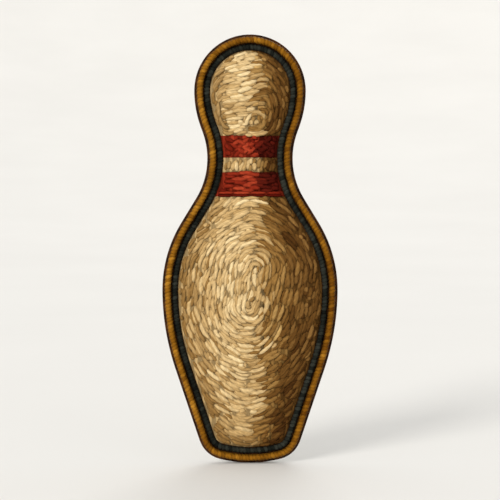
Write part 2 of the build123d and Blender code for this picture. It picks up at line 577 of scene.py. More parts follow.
def twill_cloth():
    """Dark brown twill: diagonal ribs with painted shade in the grooves between them, and a darker sealed
    edge.
    """
    nodes = Nodes("Twill")
    ribs = nodes.add("TexWave", wave_type="BANDS", bands_direction="DIAGONAL")
    ribs.inputs["Scale"].default_value = 0.22 / MM
    ribs.inputs["Distortion"].default_value = 0.6
    nodes.join(nodes.place, ribs.inputs["Vector"])
    mottle = nodes.noise(nodes.place, 2.2 / MM)
    # The ribs' grooves are painted darker as shade; the mottle is the cloth's own uneven tone.
    rib_shade_and_mottle = nodes.sum("MULTIPLY", ribs.outputs["Fac"], mottle)
    tint = nodes.ramp(rib_shade_and_mottle, [(0, (40, 20, 6)), (0.4, (66, 36, 11)), (1, (98, 58, 20))])
    tint = nodes.times(tint, nodes.span(nodes.fact("shade"), 0.55, 1.0))
    nodes.set(Specular_IOR_Level=0.15)
    return nodes.skin(tint, rib_shade_and_mottle, 0.06, mottle, 0.7, 0.95)


def felted_backing():
    """White non-woven stabiliser: long fibres pressed together every way, singed brown where it was cut."""
    nodes = Nodes("Stabiliser")
    fine = nodes.noise(nodes.place, 3.0 / MM, detail=6.0)
    long = nodes.noise(nodes.place, 1.2 / MM, (1, 1, 9), detail=5.0)
    mixed = nodes.sum("MULTIPLY", fine, nodes.sum("ADD", long, 0.5))
    stops = [(0, (84, 60, 36)), (0.12, (176, 170, 158)), (0.5, (220, 216, 206)), (0.9, (246, 243, 236))]
    tint = nodes.ramp(nodes.sum("MULTIPLY", mixed, nodes.fact("shade")), stops)
    return nodes.skin(tint, mixed, 0.08, fine, 0.8, 1.0)


def melt_film():
    """Milky adhesive film that lets the bobbin stitches show through."""
    nodes = Nodes("Film")
    cloudy = nodes.noise(nodes.place, 0.45 / MM, detail=4.0)
    pebbled = nodes.noise(nodes.place, 3.5 / MM, detail=2.0)
    tint = nodes.ramp(cloudy, [(0.2, (205, 202, 190)), (0.55, (228, 226, 216)), (0.85, (244, 243, 236))])
    nodes.set(Alpha=0.3, Specular_IOR_Level=0.5)
    height = nodes.sum("ADD", cloudy, nodes.sum("MULTIPLY", pebbled, 0.6))
    return nodes.skin(tint, height, 0.03, pebbled, 0.22, 0.5)


def pad_foam():
    """Sand-coloured closed-cell foam, with painted shade in each cell's hollow."""
    nodes = Nodes("Foam")
    cells = nodes.add("TexVoronoi", feature="DISTANCE_TO_EDGE")
    cells.inputs["Scale"].default_value = 3.2 / MM
    nodes.join(nodes.place, cells.inputs["Vector"])
    mottle = nodes.noise(nodes.place, 0.8 / MM)
    tint = nodes.ramp(mottle, [(0.2, (188, 166, 124)), (0.8, (222, 204, 166))])
    # Painted shade: each cell is darker towards its sunken middle.
    tint = nodes.times(tint, nodes.span(cells.outputs["Distance"], 1.05, 0.8))
    return nodes.skin(tint, cells.outputs["Distance"], -0.12, mottle, 0.75, 0.95)


CREAM = thread("Cream", (144, 109, 60), (200, 166, 112), (238, 212, 162))
TAN = thread("Tan", (106, 72, 32), (148, 110, 58), (194, 157, 98))
BROWN = thread("Brown", (70, 43, 17), (104, 71, 32), (148, 110, 60))
RED = thread("Red", (84, 17, 9), (134, 40, 23), (176, 68, 42))
MAROON = thread("Maroon", (50, 12, 7), (78, 21, 13), (108, 32, 19))
OCHRE = thread("Ochre", (92, 52, 9), (142, 94, 24), (200, 142, 48), 0.45, 0.2, 0.04)
BLACK = thread("Black", (16, 17, 15), (30, 32, 28), (52, 54, 48), 0.55, 0.7)
CORD = thread("Cord", (140, 108, 60), (176, 142, 88), (206, 176, 122), 0.7)
BOBBIN = thread("Bobbin", (168, 163, 151), (218, 214, 204), (248, 246, 240))
TWILL = twill_cloth()
STABILISER = felted_backing()
FILM = melt_film()
FOAM = pad_foam()

# ---- The flow of the filling's stitches ----

# The least half-width that a share is taken of.
NARROWEST = 0.5


def ovals(foot, top, below, above):
    """A flow that runs round a line in long ovals, which widen into the pin's own outline.

    The line goes from foot to top, and the ovals turn round its ends within `below` and `above`.
    """
    def level(x, z):
        middle = np.interp(z, [foot[1], top[1]], [foot[0], top[0]])
        sideways = (x - middle) / np.maximum(half_width(z), NARROWEST)
        upward = np.maximum(z - top[1], 0) / above - np.maximum(foot[1] - z, 0) / below
        return sideways**2 + upward**2

    def direction(x, z):
        across, upward = changes(level, x, z)
        return np.arctan2(across, -upward)

    return direction


def slanted(angle):
    """A flow that runs one way everywhere, at an angle from the horizontal."""
    return lambda x, z: np.full(np.shape(x), math.radians(angle))


def mixed(first, second, share):
    """A flow between two others, of which share(x, z) is the second's part."""
    def direction(x, z):
        part = np.asarray(share(x, z))[..., None]
        both = (1 - part) * toward(2 * first(x, z)) + part * toward(2 * second(x, z))
        return np.arctan2(both[..., 1], both[..., 0]) / 2

    return direction


EDGE_MARGIN = 0.1
SEAM_MARGIN = 0.04


def inside(x, z, heights):
    """Whether points lie in a stretch of the filling, clear of the outline and of the next stretch."""
    low, high = heights
    return (edge_gap(x, z) > EDGE_MARGIN) & (z > low + SEAM_MARGIN) & (z < high - SEAM_MARGIN)


# How far the flow wanders everywhere and in the middle of the belly, in degrees.
WANDER = 12
BELLY_WANDER = 15
BELLY_WANDER_CENTRE = (0, -6)
BELLY_WANDER_REACHES = (2.4, 6)


def wander(x, z):
    """Slow changes of direction from place to place, in degrees."""
    across, upward = BELLY_WANDER_REACHES
    from_centre = (x - BELLY_WANDER_CENTRE[0]) / across, (z - BELLY_WANDER_CENTRE[1]) / upward
    most = WANDER + BELLY_WANDER * np.exp(-(from_centre[0] ** 2) - from_centre[1] ** 2)
    return most * ripples(x, z, (1.3, 1.6, 0.8), (1.1, 1.3, 1.1))


PROFILE_STEPS = 60
TRIES_EACH = 14


def widest_of(heights):
    """The filling's greatest half-width between two heights."""
    return half_width(np.linspace(*heights, PROFILE_STEPS)).max()


def scattered(flow, heights, across, along, draws):
    """Stitch centres over a stretch of the filling, none too near another beside it or ahead of it."""
    low, high = heights
    widest = widest_of(heights)
    tries = round(TRIES_EACH * 2 * widest * (high - low) / (across * along))
    x = draws.uniform(-widest, widest, tries)
    z = draws.uniform(low, high, tries)
    allowed = inside(x, z, heights)
    x, z = x[allowed], z[allowed]
    ahead = toward(flow(x, z))
    spots = stack(x, z)
    kept = np.empty((len(spots), 2))
    count = 0
    for spot, forward, sideways in zip(spots, ahead / along, left_of(ahead) / across):
        apart = kept[:count] - spot
        if count == 0 or ((apart @ forward) ** 2 + (apart @ sideways) ** 2).min() > 1:
            kept[count] = spot
            count += 1
    return kept[:count]


STITCH_STEPS = 13


def followed(flow, centres, lengths, turns):
    """Lines that run through centres along a flow, each turned from it by its own angle."""
    lines = np.zeros((len(centres), STITCH_STEPS, 2))
    middle = STITCH_STEPS // 2
    lines[:, middle] = centres
    pace = (lengths / (STITCH_STEPS - 1))[:, None]
    for sense in (1, -1):
        place = centres.copy()
        heading = None
        for step in range(1, middle + 1):
            ahead = toward(flow(place[:, 0], place[:, 1]) + turns)
            if heading is None:
                ahead *= sense
            else:
                ahead *= np.where((ahead * heading).sum(axis=1) < 0, -1, 1)[:, None]
            heading = ahead
            place = place + heading * pace
            lines[:, middle + sense * step] = place
    return lines


SHORTEST = 0.7
SHORTENING = 0.8
SHORTENINGS = 10


def stitch_lines(flow, centres, lengths, turns, heights):
    """The stitches' lines, shortened until they stay in their stretch of the filling, and which were kept."""
    for _ in range(SHORTENINGS):
        lines = followed(flow, centres, lengths, turns)
        ends = lines[:, [0, -1]]
        held = inside(ends[..., 0], ends[..., 1], heights).all(axis=1)
        lengths = np.where(held, lengths, lengths * SHORTENING)
    return lines, held & (lengths > SHORTEST)


# A row advances by a step. It stops nearer to another row than CLOSEST times the spacing, and starts only
# where it has ROOM times the spacing. New rows start beside every few places of a row.
STREAM_STEP = 0.15
STREAM_STEPS = 300
CLOSEST = 0.74
ROOM = 0.97
SEED_STEP = 3
FAR_AWAY = 1000.0


def beside(line, distance):
    """Places on both sides of a line, at a distance from it."""
    away = distance * unit(left_of(np.gradient(line, axis=0)))
    return [*(line + away)[::SEED_STEP], *(line - away)[::SEED_STEP]]


class Rows:
    """Lines along a flow over a stretch of the filling, which keep an even distance from one another."""

    def __init__(self, flow, heights):
        self.flow = flow
        self.heights = heights
        self.lines = []
        self.taken = np.full((1, 2), FAR_AWAY)

    def half(self, seed, sense, spacing, taken):
        """One half of a line, from a seed to where it leaves the stretch or comes near a place taken."""
        recent = round(2 * spacing / STREAM_STEP)
        places = []
        place = seed
        heading = None
        while len(places) < STREAM_STEPS:
            ahead = sense * toward(self.flow(*place))
            if heading is not None and ahead @ heading < 0:
                ahead = -ahead
            heading = ahead
            place = place + heading * STREAM_STEP
            near = np.vstack([taken, *places[:-recent]])
            gap = ((near - place) ** 2).sum(axis=1).min()
            if gap < (CLOSEST * spacing) ** 2 or not inside(*place, self.heights):
                break
            places.append(place)
        return np.array(places).reshape(-1, 2)

    def fill(self, seeds, spacing):
        """Grows a line from each seed that has room, and then from places beside each new line."""
        waiting = list(seeds)
        while waiting:
            seed = waiting.pop(0)
            gap = ((self.taken - seed) ** 2).sum(axis=1).min()
            if gap < (ROOM * spacing) ** 2 or not inside(*seed, self.heights):
                continue
            forward = self.half(seed, 1, spacing, self.taken)
            clear_of = np.vstack([self.taken, forward[round(2 * spacing / STREAM_STEP):]])
            behind = self.half(seed, -1, spacing, clear_of)
            line = np.vstack([behind[::-1], seed, forward])
            if len(line) * STREAM_STEP < SHORTEST:
                continue
            self.lines.append(line)
            self.taken = np.vstack([self.taken, line])
            waiting += beside(line, spacing)


TUCK = 0.5


def cut(lines, lengths, draws):
    """Lines cut into stitches, each of which is tucked in beside the end of the one before it."""
    stitches = []
    for line in lines:
        travelled = np.arange(len(line)) * STREAM_STEP
        start = -draws.uniform(0, lengths[1])
        while start < travelled[-1]:
            end = start + draws.uniform(*lengths)
            low = max(start - TUCK / 2, 0)
            high = min(end + TUCK / 2, travelled[-1])
            if high - low > SHORTEST:
                stitches.append(at_distances(line, travelled, np.linspace(low, high, STITCH_STEPS)))
            start = end
    return np.array(stitches)


# The stitches' section, and how far and over what share of a stitch its ends are drawn down.
THREAD_WIDTH = 0.66
THREAD_HEIGHT = 0.38
END_DEPTH = 0.26
END_SHARE = 0.3


def laid(lines, layers):
    """Stitch lines lifted onto the filling: high in the middle, with their ends drawn down into it."""
    x, z = lines[..., 0], lines[..., 1]
    outward = outward_of(x, z)
    share = np.linspace(0, 1, lines.shape[1])
    drawn = (1 - np.clip(np.minimum(share, 1 - share) / END_SHARE, 0, 1)) ** 2
    lift = layers[:, None] - THREAD_HEIGHT / 2 - END_DEPTH * drawn[None]
    return at_depth(lines, TWILL_FRONT + rise(x, z)) + outward * lift[..., None], outward


# ---- The filling ----

# The bed lies this far under the filling's surface, but no more than a share of its height. Points this
# near to the surface belong to it, and points this near to the twill stay.
BED_DEPTH = 0.3
BED_SHARE = 0.7
SURFACE_TOLERANCE = 0.06
FOOT_TOLERANCE = 0.01


def lowered_filling(points):
    """Points of a filling thread's solid, its outer surface lowered by the depth of the stitches."""
    height = -points[:, 1] - TWILL_FRONT
    full = rise(points[:, 0], points[:, 2])
    outer = (height > full - SURFACE_TOLERANCE) & (height > FOOT_TOLERANCE)
    moved = points.copy()
    moved[outer, 1] += np.minimum(BED_DEPTH, BED_SHARE * height[outer])
    return moved


def light_across(share):
    """How light the filling is by the share of its half-width from the middle, from -1 left to 1 right."""
    return np.interp(
        share,
        [-1.0, -0.85, -0.6, -0.35, -0.1, 0.1, 0.25, 0.45, 0.65, 0.85, 0.94, 1.0],
        [0.5, 0.62, 0.83, 0.94, 0.9, 0.8, 0.59, 0.41, 0.26, 0.2, 0.24, 0.32],
    )


# For each filling thread's name: its material, slot, and the lightness at its darkest and lightest.
THREADS = {
    "cream": (CREAM, "cream_thread", (0.5, 1.05)),
    "tan": (TAN, "tan_thread", (0.25, 0.75)),
    "brown": (BROWN, "brown_thread", (0.0, 0.45)),
    "red": (RED, "red_thread", (0.0, 1.0)),
    "maroon": (MAROON, "maroon_thread", (0.0, 1.0)),
}


def share_of(centres):
    """Where centres lie between the filling's left edge, -1, and its right edge, 1."""
    return centres[:, 0] / half_width(centres[:, 1])


def stitched(area, kinds, stitches):
    """Makes a piece of each thread colour of an area, from its stitches' lines, sizes, lights and kinds."""
    lines, layers, widths, heights, lights, chosen = stitches
    for number, kind in enumerate(kinds):
        material, slot, (darkest, lightest) = THREADS[kind]
        own = chosen == number
        tones = np.clip((lights[own] - darkest) / (lightest - darkest), 0, 1)
        strands = (*laid(lines[own], layers[own]), widths[own], heights[own], tones)
        sew(f"{area}_{kind}", material, slot, lowered_filling, *strands)


LAYERS = (-0.1, 0.06)
WIDTH_SHARES = (0.86, 1.14)
HEIGHT_SHARES = (0.88, 1.1)


def sized(count, draws):
    """Layers, widths and heights of stitches, each a little different."""
    layers = draws.uniform(*LAYERS, count)
    widths = THREAD_WIDTH * draws.uniform(*WIDTH_SHARES, count)
    heights = THREAD_HEIGHT * draws.uniform(*HEIGHT_SHARES, count)
    return layers, widths, heights


# Fillers are closer, lower and narrower rows between the main rows, painted darker as shade since they lie
# lower.
FILLER_TRIES = 3000
FILLER_SHARE = 0.46
FILLER_DEPTH = 0.07
FILLER_WIDTH = 0.85
FILLER_SHADE = 0.12

# The belly darkens towards its foot, and the head is lighter towards its crown.
FOOT_TOP = -18
FOOT_DARKENING = 0.22
CROWN_FOOT = 24.5
CROWN_LIGHTENING = 0.2

# The shares of the half-width at which tan and brown begin, and how far stitches stray from their place
# and their light.
TAN_START = 0.208
BROWN_START = 0.602
OVAL_SCATTER = (0.09, 0.08)


def fill_oval(area, heights, flow, spacing, lengths, seed):
    """Fills the head or the belly with rows of short stitches along a flow, in cream, tan and brown."""
    draws = np.random.default_rng(seed)
    low, high = heights
    rows = Rows(lambda x, z: flow(x, z) + np.radians(wander(x, z)), heights)
    rows.fill([np.array([0.0, (low + high) / 2])], spacing)
    first = len(rows.lines)
    widest = widest_of(heights)
    between = [spot for line in rows.lines for spot in beside(line, spacing / 2)]
    anywhere = draws.uniform((-widest, low), (widest, high), (FILLER_TRIES, 2))
    rows.fill([*between, *anywhere], FILLER_SHARE * spacing)
    main = cut(rows.lines[:first], lengths, draws)
    lines = np.concatenate([main, cut(rows.lines[first:], lengths, draws)])
    centres = lines[:, STITCH_STEPS // 2]
    count = len(lines)
    share = share_of(centres) + draws.normal(0, OVAL_SCATTER[0], count)
    lights = light_across(share) + draws.normal(0, OVAL_SCATTER[1], count)
    lights -= FOOT_DARKENING * np.clip((FOOT_TOP - centres[:, 1]) / (FOOT_TOP - BELLY[0]), 0, 1)
    lights += CROWN_LIGHTENING * np.clip((centres[:, 1] - CROWN_FOOT) / (HEAD[1] - CROWN_FOOT), 0, 1)
    kinds = np.select([share > BROWN_START, share > TAN_START], [2, 1], 0)
    # Painted shade on the lower filler rows.
    lights[len(main):] -= FILLER_SHADE
    layers, widths, tall = sized(count, draws)
    layers[len(main):] -= FILLER_DEPTH
    widths[len(main):] *= FILLER_WIDTH
    stitched(area, ["cream", "tan", "brown"], (lines, layers, widths, tall, lights, kinds))


STRIPE_TURN = 7
STRIPE_SCATTER = 0.05
MAROON_LIGHTENING = 0.1

# A red stripe is lightest at a share of its half-width from the middle, and darkens to a reach each side.
RED_LIGHTEST = (-0.1, 0.7)
RED_DARKENING = 0.9
RED_REACH = 0.7
BAND_DARKENING = 0.12


def red_light(share):
    """How light a red stripe is across its width: lightest a little left of its middle."""
    lightest, light = RED_LIGHTEST
    return light - RED_DARKENING * np.minimum(np.abs(share - lightest), RED_REACH) ** 2


def band_light(share):
    """How light the band between the stripes is: a little darker than the rest of the filling."""
    return light_across(share) - BAND_DARKENING


def fill_stripe(area, heights, threads, slants, lengths, spacing, seed):
    """Fills a stripe of the neck with stitches at one or more slants, in a light and a dark thread.

    `threads` holds their names, the share of the half-width where the dark one begins, and their light.
    """
    kinds, turning, light, scatter = threads
    draws = np.random.default_rng(seed)
    found = []
    for slant in slants:
        flow = slanted(slant)
        centres = scattered(flow, heights, *spacing, draws)
        wanted = draws.uniform(*lengths, len(centres))
        turns = np.radians(draws.normal(0, STRIPE_TURN, len(centres)))
        lines, kept = stitch_lines(flow, centres, wanted, turns, heights)
        found.append((lines[kept], centres[kept]))
    lines, centres = (np.concatenate(parts) for parts in zip(*found))
    count = len(centres)
    share = share_of(centres) + draws.normal(0, STRIPE_SCATTER, count)
    dark = np.where(share > turning, 1, 0)
    lights = light(share) + draws.normal(0, scatter, count)
    if "maroon" in kinds:
        lights = np.where(dark == 1, lights + MAROON_LIGHTENING, lights)
    layers, widths, tall = sized(count, draws)
    stitched(area, kinds, (lines, layers, widths, tall, lights, dark))


BELLY_WHORL = np.array([0.5, -2.6])
BELLY_TURN = np.array([-0.3, -8.0])
BELLY_REACHES = (12.0, 9.5)
HEAD_WHORL = np.array([0.9, 18.0])
HEAD_SLANT = 12
WHORL_RADIUS = 0.7
WHORL_BLEND = 1.6
LEVEL_SHARES = (-0.95, 0.6)
SIDE_BLEND = 0.35


def head_level_part(x, z):
    """How level the head's stitches run: not at all round the whorl, or near either side."""
    share = x / np.maximum(half_width(z), NARROWEST)
    from_whorl = np.hypot(x - HEAD_WHORL[0], z - HEAD_WHORL[1]) - WHORL_RADIUS
    from_side = np.minimum(share - LEVEL_SHARES[0], LEVEL_SHARES[1] - share)
    return np.clip(from_whorl / WHORL_BLEND, 0, 1) * np.clip(from_side / SIDE_BLEND, 0, 1)


belly_flow = ovals(BELLY_TURN, BELLY_WHORL, *BELLY_REACHES)
head_ovals = ovals(HEAD_WHORL, HEAD_WHORL, HEAD_WHORL[1] - HEAD[0] + 1, HEAD[1] - HEAD_WHORL[1])
head_flow = mixed(head_ovals, slanted(HEAD_SLANT), head_level_part)

fill_oval("belly", BELLY, belly_flow, 0.66, (2.2, 3.2), 11)
fill_oval("head", HEAD, head_flow, 0.62, (1.7, 2.6), 12)

RED_AND_MAROON = (["red", "maroon"], 0.27, red_light, 0.14)
CREAM_AND_BROWN = (["cream", "brown"], 0.454, band_light, 0.1)

# For each stripe: its heights, its threads, its stitches' slants, the range of their lengths, their spacing
# across and along, and its seed.
STRIPES = {
    "upper_stripe": (UPPER_STRIPE, RED_AND_MAROON, [33, -33], (1.4, 2.2), (0.5, 1.2), 13),
    "neck_band": (NECK_BAND, CREAM_AND_BROWN, [80], (1.1, 2.0), (0.36, 0.6), 14),
    "lower_stripe": (LOWER_STRIPE, RED_AND_MAROON, [0], (1.6, 2.8), (0.38, 1.3), 15),
}
for area, settings in STRIPES.items():
    fill_stripe(area, *settings)

# The two long rows along the lower stripe's foot: how far each lies from its edge, and how light it is. The
# lower row is red thread painted dark as the shadow under the bright row.
SHADOW_ROW = (0.17, 0.22)
BRIGHT_ROW = (0.22, 1.0)
ROW_STITCHES = 4
ROW_OVERLAP = 0.25
ROW_END = 0.1
ROW_SCATTER = 0.015
ROW_LAYERS = (-0.02, 0.06)
ROW_WIDTH = 0.4
ROW_HEIGHT = 0.3
SIDE_DARKENING = 0.5
RIGHT_DARKENING = 0.25


def stripe_line():
    """The two long rows along the lower stripe's foot: a bright one over a dark one that is painted as its
    shadow.
    """
    low, high = STRIPE_LINE
    draws = np.random.default_rng(16)
    rows = []
    lights = []
    # The lower row is painted dark as the bright row's shadow.
    for height, light in ((low + SHADOW_ROW[0], SHADOW_ROW[1]), (high - BRIGHT_ROW[0], BRIGHT_ROW[1])):
        reach = half_width(height) - ROW_END
        ends = np.linspace(-reach, reach, ROW_STITCHES + 1)
        for left, right in zip(ends[:-1], ends[1:]):
            x = np.linspace(left - ROW_OVERLAP, right + ROW_OVERLAP, STITCH_STEPS).clip(-reach, reach)
            z = np.full(STITCH_STEPS, height) + draws.normal(0, ROW_SCATTER)
            rows.append(stack(x, z))
            from_middle = (left + right) / 2 / reach
            lights.append(light - SIDE_DARKENING * abs(from_middle) - RIGHT_DARKENING * (from_middle > 0))
    strands = laid(np.array(rows), draws.uniform(*ROW_LAYERS, len(rows)))
    sizes = (ROW_WIDTH, ROW_HEIGHT)
    sew("lower_stripe_line", RED, "red_thread", lowered_filling, *strands, *sizes, np.clip(lights, 0, 1))


stripe_line()

# ---- The satin rings and the cord ----

SATIN_PITCH = 0.52
SATIN_STEPS = 13
SATIN_SIDES = 8
SATIN_WIDTH = 0.62
SATIN_HEIGHT = 0.2
SATIN_OPENING = 0.42
SATIN_FOOT = 0.06
SATIN_LEAN = 0.05

# How much the satin stitches' reach, height and place along the ring stray. Their tone changes slowly round
# the ring, by waves of a size and a number which themselves bend, by a size and a number.
REACH_SCATTER = 0.015
HEIGHT_SCATTER = 0.012
PLACE_SCATTER = 0.02
TONE_WAVES = (0.08, 9)
WAVE_BENDS = (2, 5)

# How far a ring's bed is drawn in, the most of its height and width that this may take, and the least
# distance from the ring's middle that the width is measured by.
RING_SINK = 0.12
RING_HEIGHT_SHARE = 0.3
RING_WIDTH_SHARE = 0.5
RING_NEAREST = 0.3


def across_ring(places, inward, across, along):
    """Lines of places (x, z) that cross a ring: how far into the pin and how far along the ring each goes."""
    return places[:, None] + inward[:, None] * across[..., None] + left_of(inward)[:, None] * along[..., None]


def lowered_ring(points, middle):
    """Points of a ring's solid, its outer surface drawn in towards the ring's foot by half a thread."""
    loop, _ = ring(middle, len(EDGE))
    moved = points.copy()
    flat = points[:, [0, 2]]
    nearest = loop[[np.argmin(((loop - spot) ** 2).sum(axis=1)) for spot in flat]]
    height = -points[:, 1] - TWILL_FRONT
    kept = 1 - RING_SINK / np.maximum(np.hypot(*(flat - nearest).T), RING_NEAREST)
    moved[:, [0, 2]] = nearest + (flat - nearest) * np.clip(kept, RING_WIDTH_SHARE, 1)[:, None]
    moved[:, 1] += np.minimum(RING_SINK, RING_HEIGHT_SHARE * np.maximum(height, 0))
    return moved


def satin_ring(part, material, slot, insets, top, slant, fullness, lights, patchiness, seed):
    """Stitches laid side by side over a ring between two insets, in an arch as high as `top`.

    `lights` holds their tone and how much more of it the left side of the ring has; this side-to-side
    difference is painted light and shade.
    """
    draws = np.random.default_rng(seed)
    middle = (insets[0] + insets[1]) / 2
    count = round(loop_length(EDGE + INWARD * middle) / SATIN_PITCH)
    places, inward = ring(middle, count)
    turn = np.linspace(math.pi, 0, SATIN_STEPS)
    spread = draws.normal(0, REACH_SCATTER, count)[:, None] + (insets[1] - insets[0] - SATIN_HEIGHT) / 2
    tops = top - SATIN_HEIGHT / 2 + draws.normal(0, HEIGHT_SCATTER, count)[:, None]
    up = tops * np.sin(turn) ** fullness - SATIN_FOOT
    along = slant * np.linspace(-0.5, 0.5, SATIN_STEPS) + draws.normal(0, PLACE_SCATTER, count)[:, None]
    lines = at_depth(across_ring(places, inward, np.cos(turn) * spread, along), TWILL_FRONT + up)
    outward = at_depth(inward[:, None] * np.cos(turn)[:, None], np.sin(turn) + SATIN_LEAN)
    around = 2 * np.pi * np.arange(count) / count
    # The left-to-right part of the tone is painted light and shade across the ring; the rest strays at
    # random.
    tones = lights[0] + lights[1] * inward[:, 0] + draws.normal(0, patchiness, count)
    bends = WAVE_BENDS[0] * np.sin(WAVE_BENDS[1] * around)
    tones = np.clip(tones + TONE_WAVES[0] * np.sin(TONE_WAVES[1] * around + bends), 0, 1)
    strands = (lines, outward, SATIN_WIDTH, SATIN_HEIGHT, tones, SATIN_SIDES, SATIN_OPENING)
    sew(part, material, slot, lambda points: lowered_ring(points, middle), *strands)


# Painted light: the border is lighter on its left, and the outline is lighter on its right.
satin_ring("border_satin", OCHRE, "ochre_thread", (BORDER_INSET, OUTLINE_INSET), BORDER_RISE,
           0.7, 0.55, (0.42, 0.1), 0.12, 21)
satin_ring("outline_satin", BLACK, "black_thread", (OUTLINE_INSET, FILL_INSET), OUTLINE_RISE,
           0.3, 0.5, (0.66, -0.14), 0.22, 22)

CORD_TONES = [0.4, 0.5, 0.6]
CORD_STEPS = 900
CORD_TURNS = 60
PLY_SHARE = 0.52


def twisted_cord():
    """The border's cord: plies twisted round one another, all the way round the pin."""
    diameter = 2 * (BORDER_MIDDLE - CORD_INSET)
    ply = diameter * PLY_SHARE
    reach = (diameter - ply) / 2
    places, inward = ring(BORDER_MIDDLE, CORD_STEPS)
    angle = 2 * np.pi * CORD_TURNS * np.arange(CORD_STEPS) / CORD_STEPS
    lines = []
    outward = []
    for number in range(len(CORD_TONES)):
        phase = angle + 2 * np.pi * number / len(CORD_TONES)
        flat = places + inward * (np.cos(phase) * reach)[:, None]
        lines.append(at_depth(flat, TWILL_FRONT + diameter / 2 + np.sin(phase) * reach))
        outward.append(at_depth(inward * np.cos(phase)[:, None], np.sin(phase)))
    cloth = Cloth()
    add_strands(cloth, np.array(lines), np.array(outward), ply, ply, CORD_TONES, closed=True)
    show("border_cord_plies", cloth, CORD, "border_cord", "border_cord")


twisted_cord()

# ---- The foam pad and the flat sheets ----

GRID_ROWS = 420
GRID_COLUMNS = 60
SIDE_CROWDING = 0.96
EDGE_BULGE = 0.04
SLAB_TONE = 0.5

# Where a slab lies in the bake's square: two halves for its faces, and two thin strips for its walls.
FACE_SIZE = [0.48, 0.96]
FACE_STARTS = (0.01, 0.51)
WALL_STARTS = (0.97, 0.985)
WALL_SIZE = 0.014


def grid(inset):
    """The x and z of a grid over the pin, at an inset from its edge, with its columns closer at the sides."""
    heights, widths = width_profile(inset)
    wide = widths > EDGE_STEP / 2
    heights, widths = heights[wide][::-1], widths[wide][::-1]
    picked = np.linspace(0, len(heights) - 1, GRID_ROWS).round().astype(int)
    angle = np.linspace(-1, 1, GRID_COLUMNS + 1) * SIDE_CROWDING * math.pi / 2
    across = np.sin(angle) / math.sin(SIDE_CROWDING * math.pi / 2)
    x = widths[picked][:, None] * across[None]
    return x, np.broadcast_to(heights[picked][:, None], x.shape)


def add_slab(cloth, x, z, back, front, bevel):
    """Adds a closed slab over a grid, between two distances from the back face, with a rounded edge."""
    border = np.zeros(x.shape, bool)
    border[[0, -1]] = True
    border[:, [0, -1]] = True
    numbers = np.arange(x.size).reshape(x.shape)
    quads = stack(numbers[:-1, :-1], numbers[1:, :-1], numbers[1:, 1:], numbers[:-1, 1:])
    quads = quads.reshape(-1, 4)
    flat = stack(x, z).reshape(-1, 2)
    low, high = flat.min(axis=0), flat.max(axis=0)
    spread = (flat - low) / (high - low)
    shade = np.where(border, 0.0, 1.0).ravel()
    inner = stack(np.where(border, 1 - bevel / np.maximum(np.abs(x), 1), 1) * x, z)
    starts = []
    for level, side, place_start in ((back, 1, FACE_STARTS[0]), (front, -1, FACE_STARTS[1])):
        points = at_depth(inner, np.where(border, level + side * bevel, level))
        start = cloth.add_points(points.reshape(-1, 3), SLAB_TONE, shade)
        turned = quads[:, ::-side]
        place = spread * FACE_SIZE + [place_start, 0.0]
        cloth.add_faces(turned + start, place[turned], flat[turned])
        starts.append(start)
    rim = np.concatenate([numbers[0, :-1], numbers[:-1, -1], numbers[-1, :0:-1], numbers[:0:-1, 0]])
    halfway = ((back + front) / 2 + 0 * x).ravel()[rim]
    start = cloth.add_points(at_depth(flat[rim], halfway), SLAB_TONE, 0.0)
    order = np.arange(len(rim))
    after = np.roll(order, -1)
    place = stack(order, order, order + 1, order + 1) / len(rim)
    walls = ((rim + starts[0], start + order), (start + order, rim + starts[1]))
    for (near, far), place_start in zip(walls, WALL_STARTS):
        upward = np.broadcast_to(place_start + np.array([0, WALL_SIZE, WALL_SIZE, 0]), place.shape)
        both = stack(place, upward)
        cloth.add_faces(stack(near, far, far[after], near[after]), both, both)


FOAM_FULLNESS = 0.97
FOAM_DENTS = 0.025


def foam_pad():
    """The foam pad, with the small dents that its cells and the needle leave in its skin."""
    inset = inset_of("puff_foam")
    x, z = grid(inset)
    heights, widths = width_profile(inset)
    dome = FLATNESS * np.sqrt(np.maximum(np.interp(z, heights, widths) ** 2 - x**2, 0))
    front = TWILL_FRONT + dome * (FOAM_FULLNESS + FOAM_DENTS * ripples(x, z, (9, 3, 5), (8, 3, 6)))
    cloth = Cloth()
    add_slab(cloth, x, z, np.full(x.shape, TWILL_FRONT), front, 0)
    pad = show("foam_pad", cloth, FOAM, "puff_foam", "foam")


def sheet(node, material, slot, back, front, dent):
    """A thin sheet cut to the pin's outline, with both faces dented by a function of place."""
    x, z = grid(0)
    cloth = Cloth()
    add_slab(cloth, x, z, back + dent(x, z), front - dent(x, z), EDGE_BULGE)
    piece = show(f"{node}_sheet", cloth, material, node, slot)
    heights, widths = width_profile(0)
    area = 2 * np.trapz(widths, heights) * MM**2


# How far each sheet's faces are dented in the middle, and by how much more or less.
RIBS = (0.03, 0.025)
MATTING = (0.02, 0.015)
DIMPLES = (0.012, 0.01)
RIB_PITCH = 0.6
RIB_LEAN = 0.55
DIMPLE_PITCH = 0.9


def ribbed(x, z):
    """The twill's diagonal ribs."""
    return RIBS[0] + RIBS[1] * np.sin(2 * np.pi * (x + RIB_LEAN * z) / RIB_PITCH)


def matted(x, z):
    """The stabiliser's uneven surface."""
    return MATTING[0] + MATTING[1] * ripples(x, z, (7.3, 3, 2.1), (5.9, 2, 1.7))


def dimpled(x, z):
    """The film's small pressed dimples."""
    across, upward = np.sin(2 * np.pi * x / DIMPLE_PITCH), np.sin(2 * np.pi * z / DIMPLE_PITCH)
    return DIMPLES[0] + DIMPLES[1] * across * upward


foam_pad()
sheet("ground_twill", TWILL, "ground_twill", STABILISER_FRONT, TWILL_FRONT, ribbed)
sheet("stabiliser", STABILISER, "stabiliser", BOBBIN_FRONT, STABILISER_FRONT, matted)
sheet("adhesive_film", FILM, "film", 0.0, FILM_FRONT, dimpled)

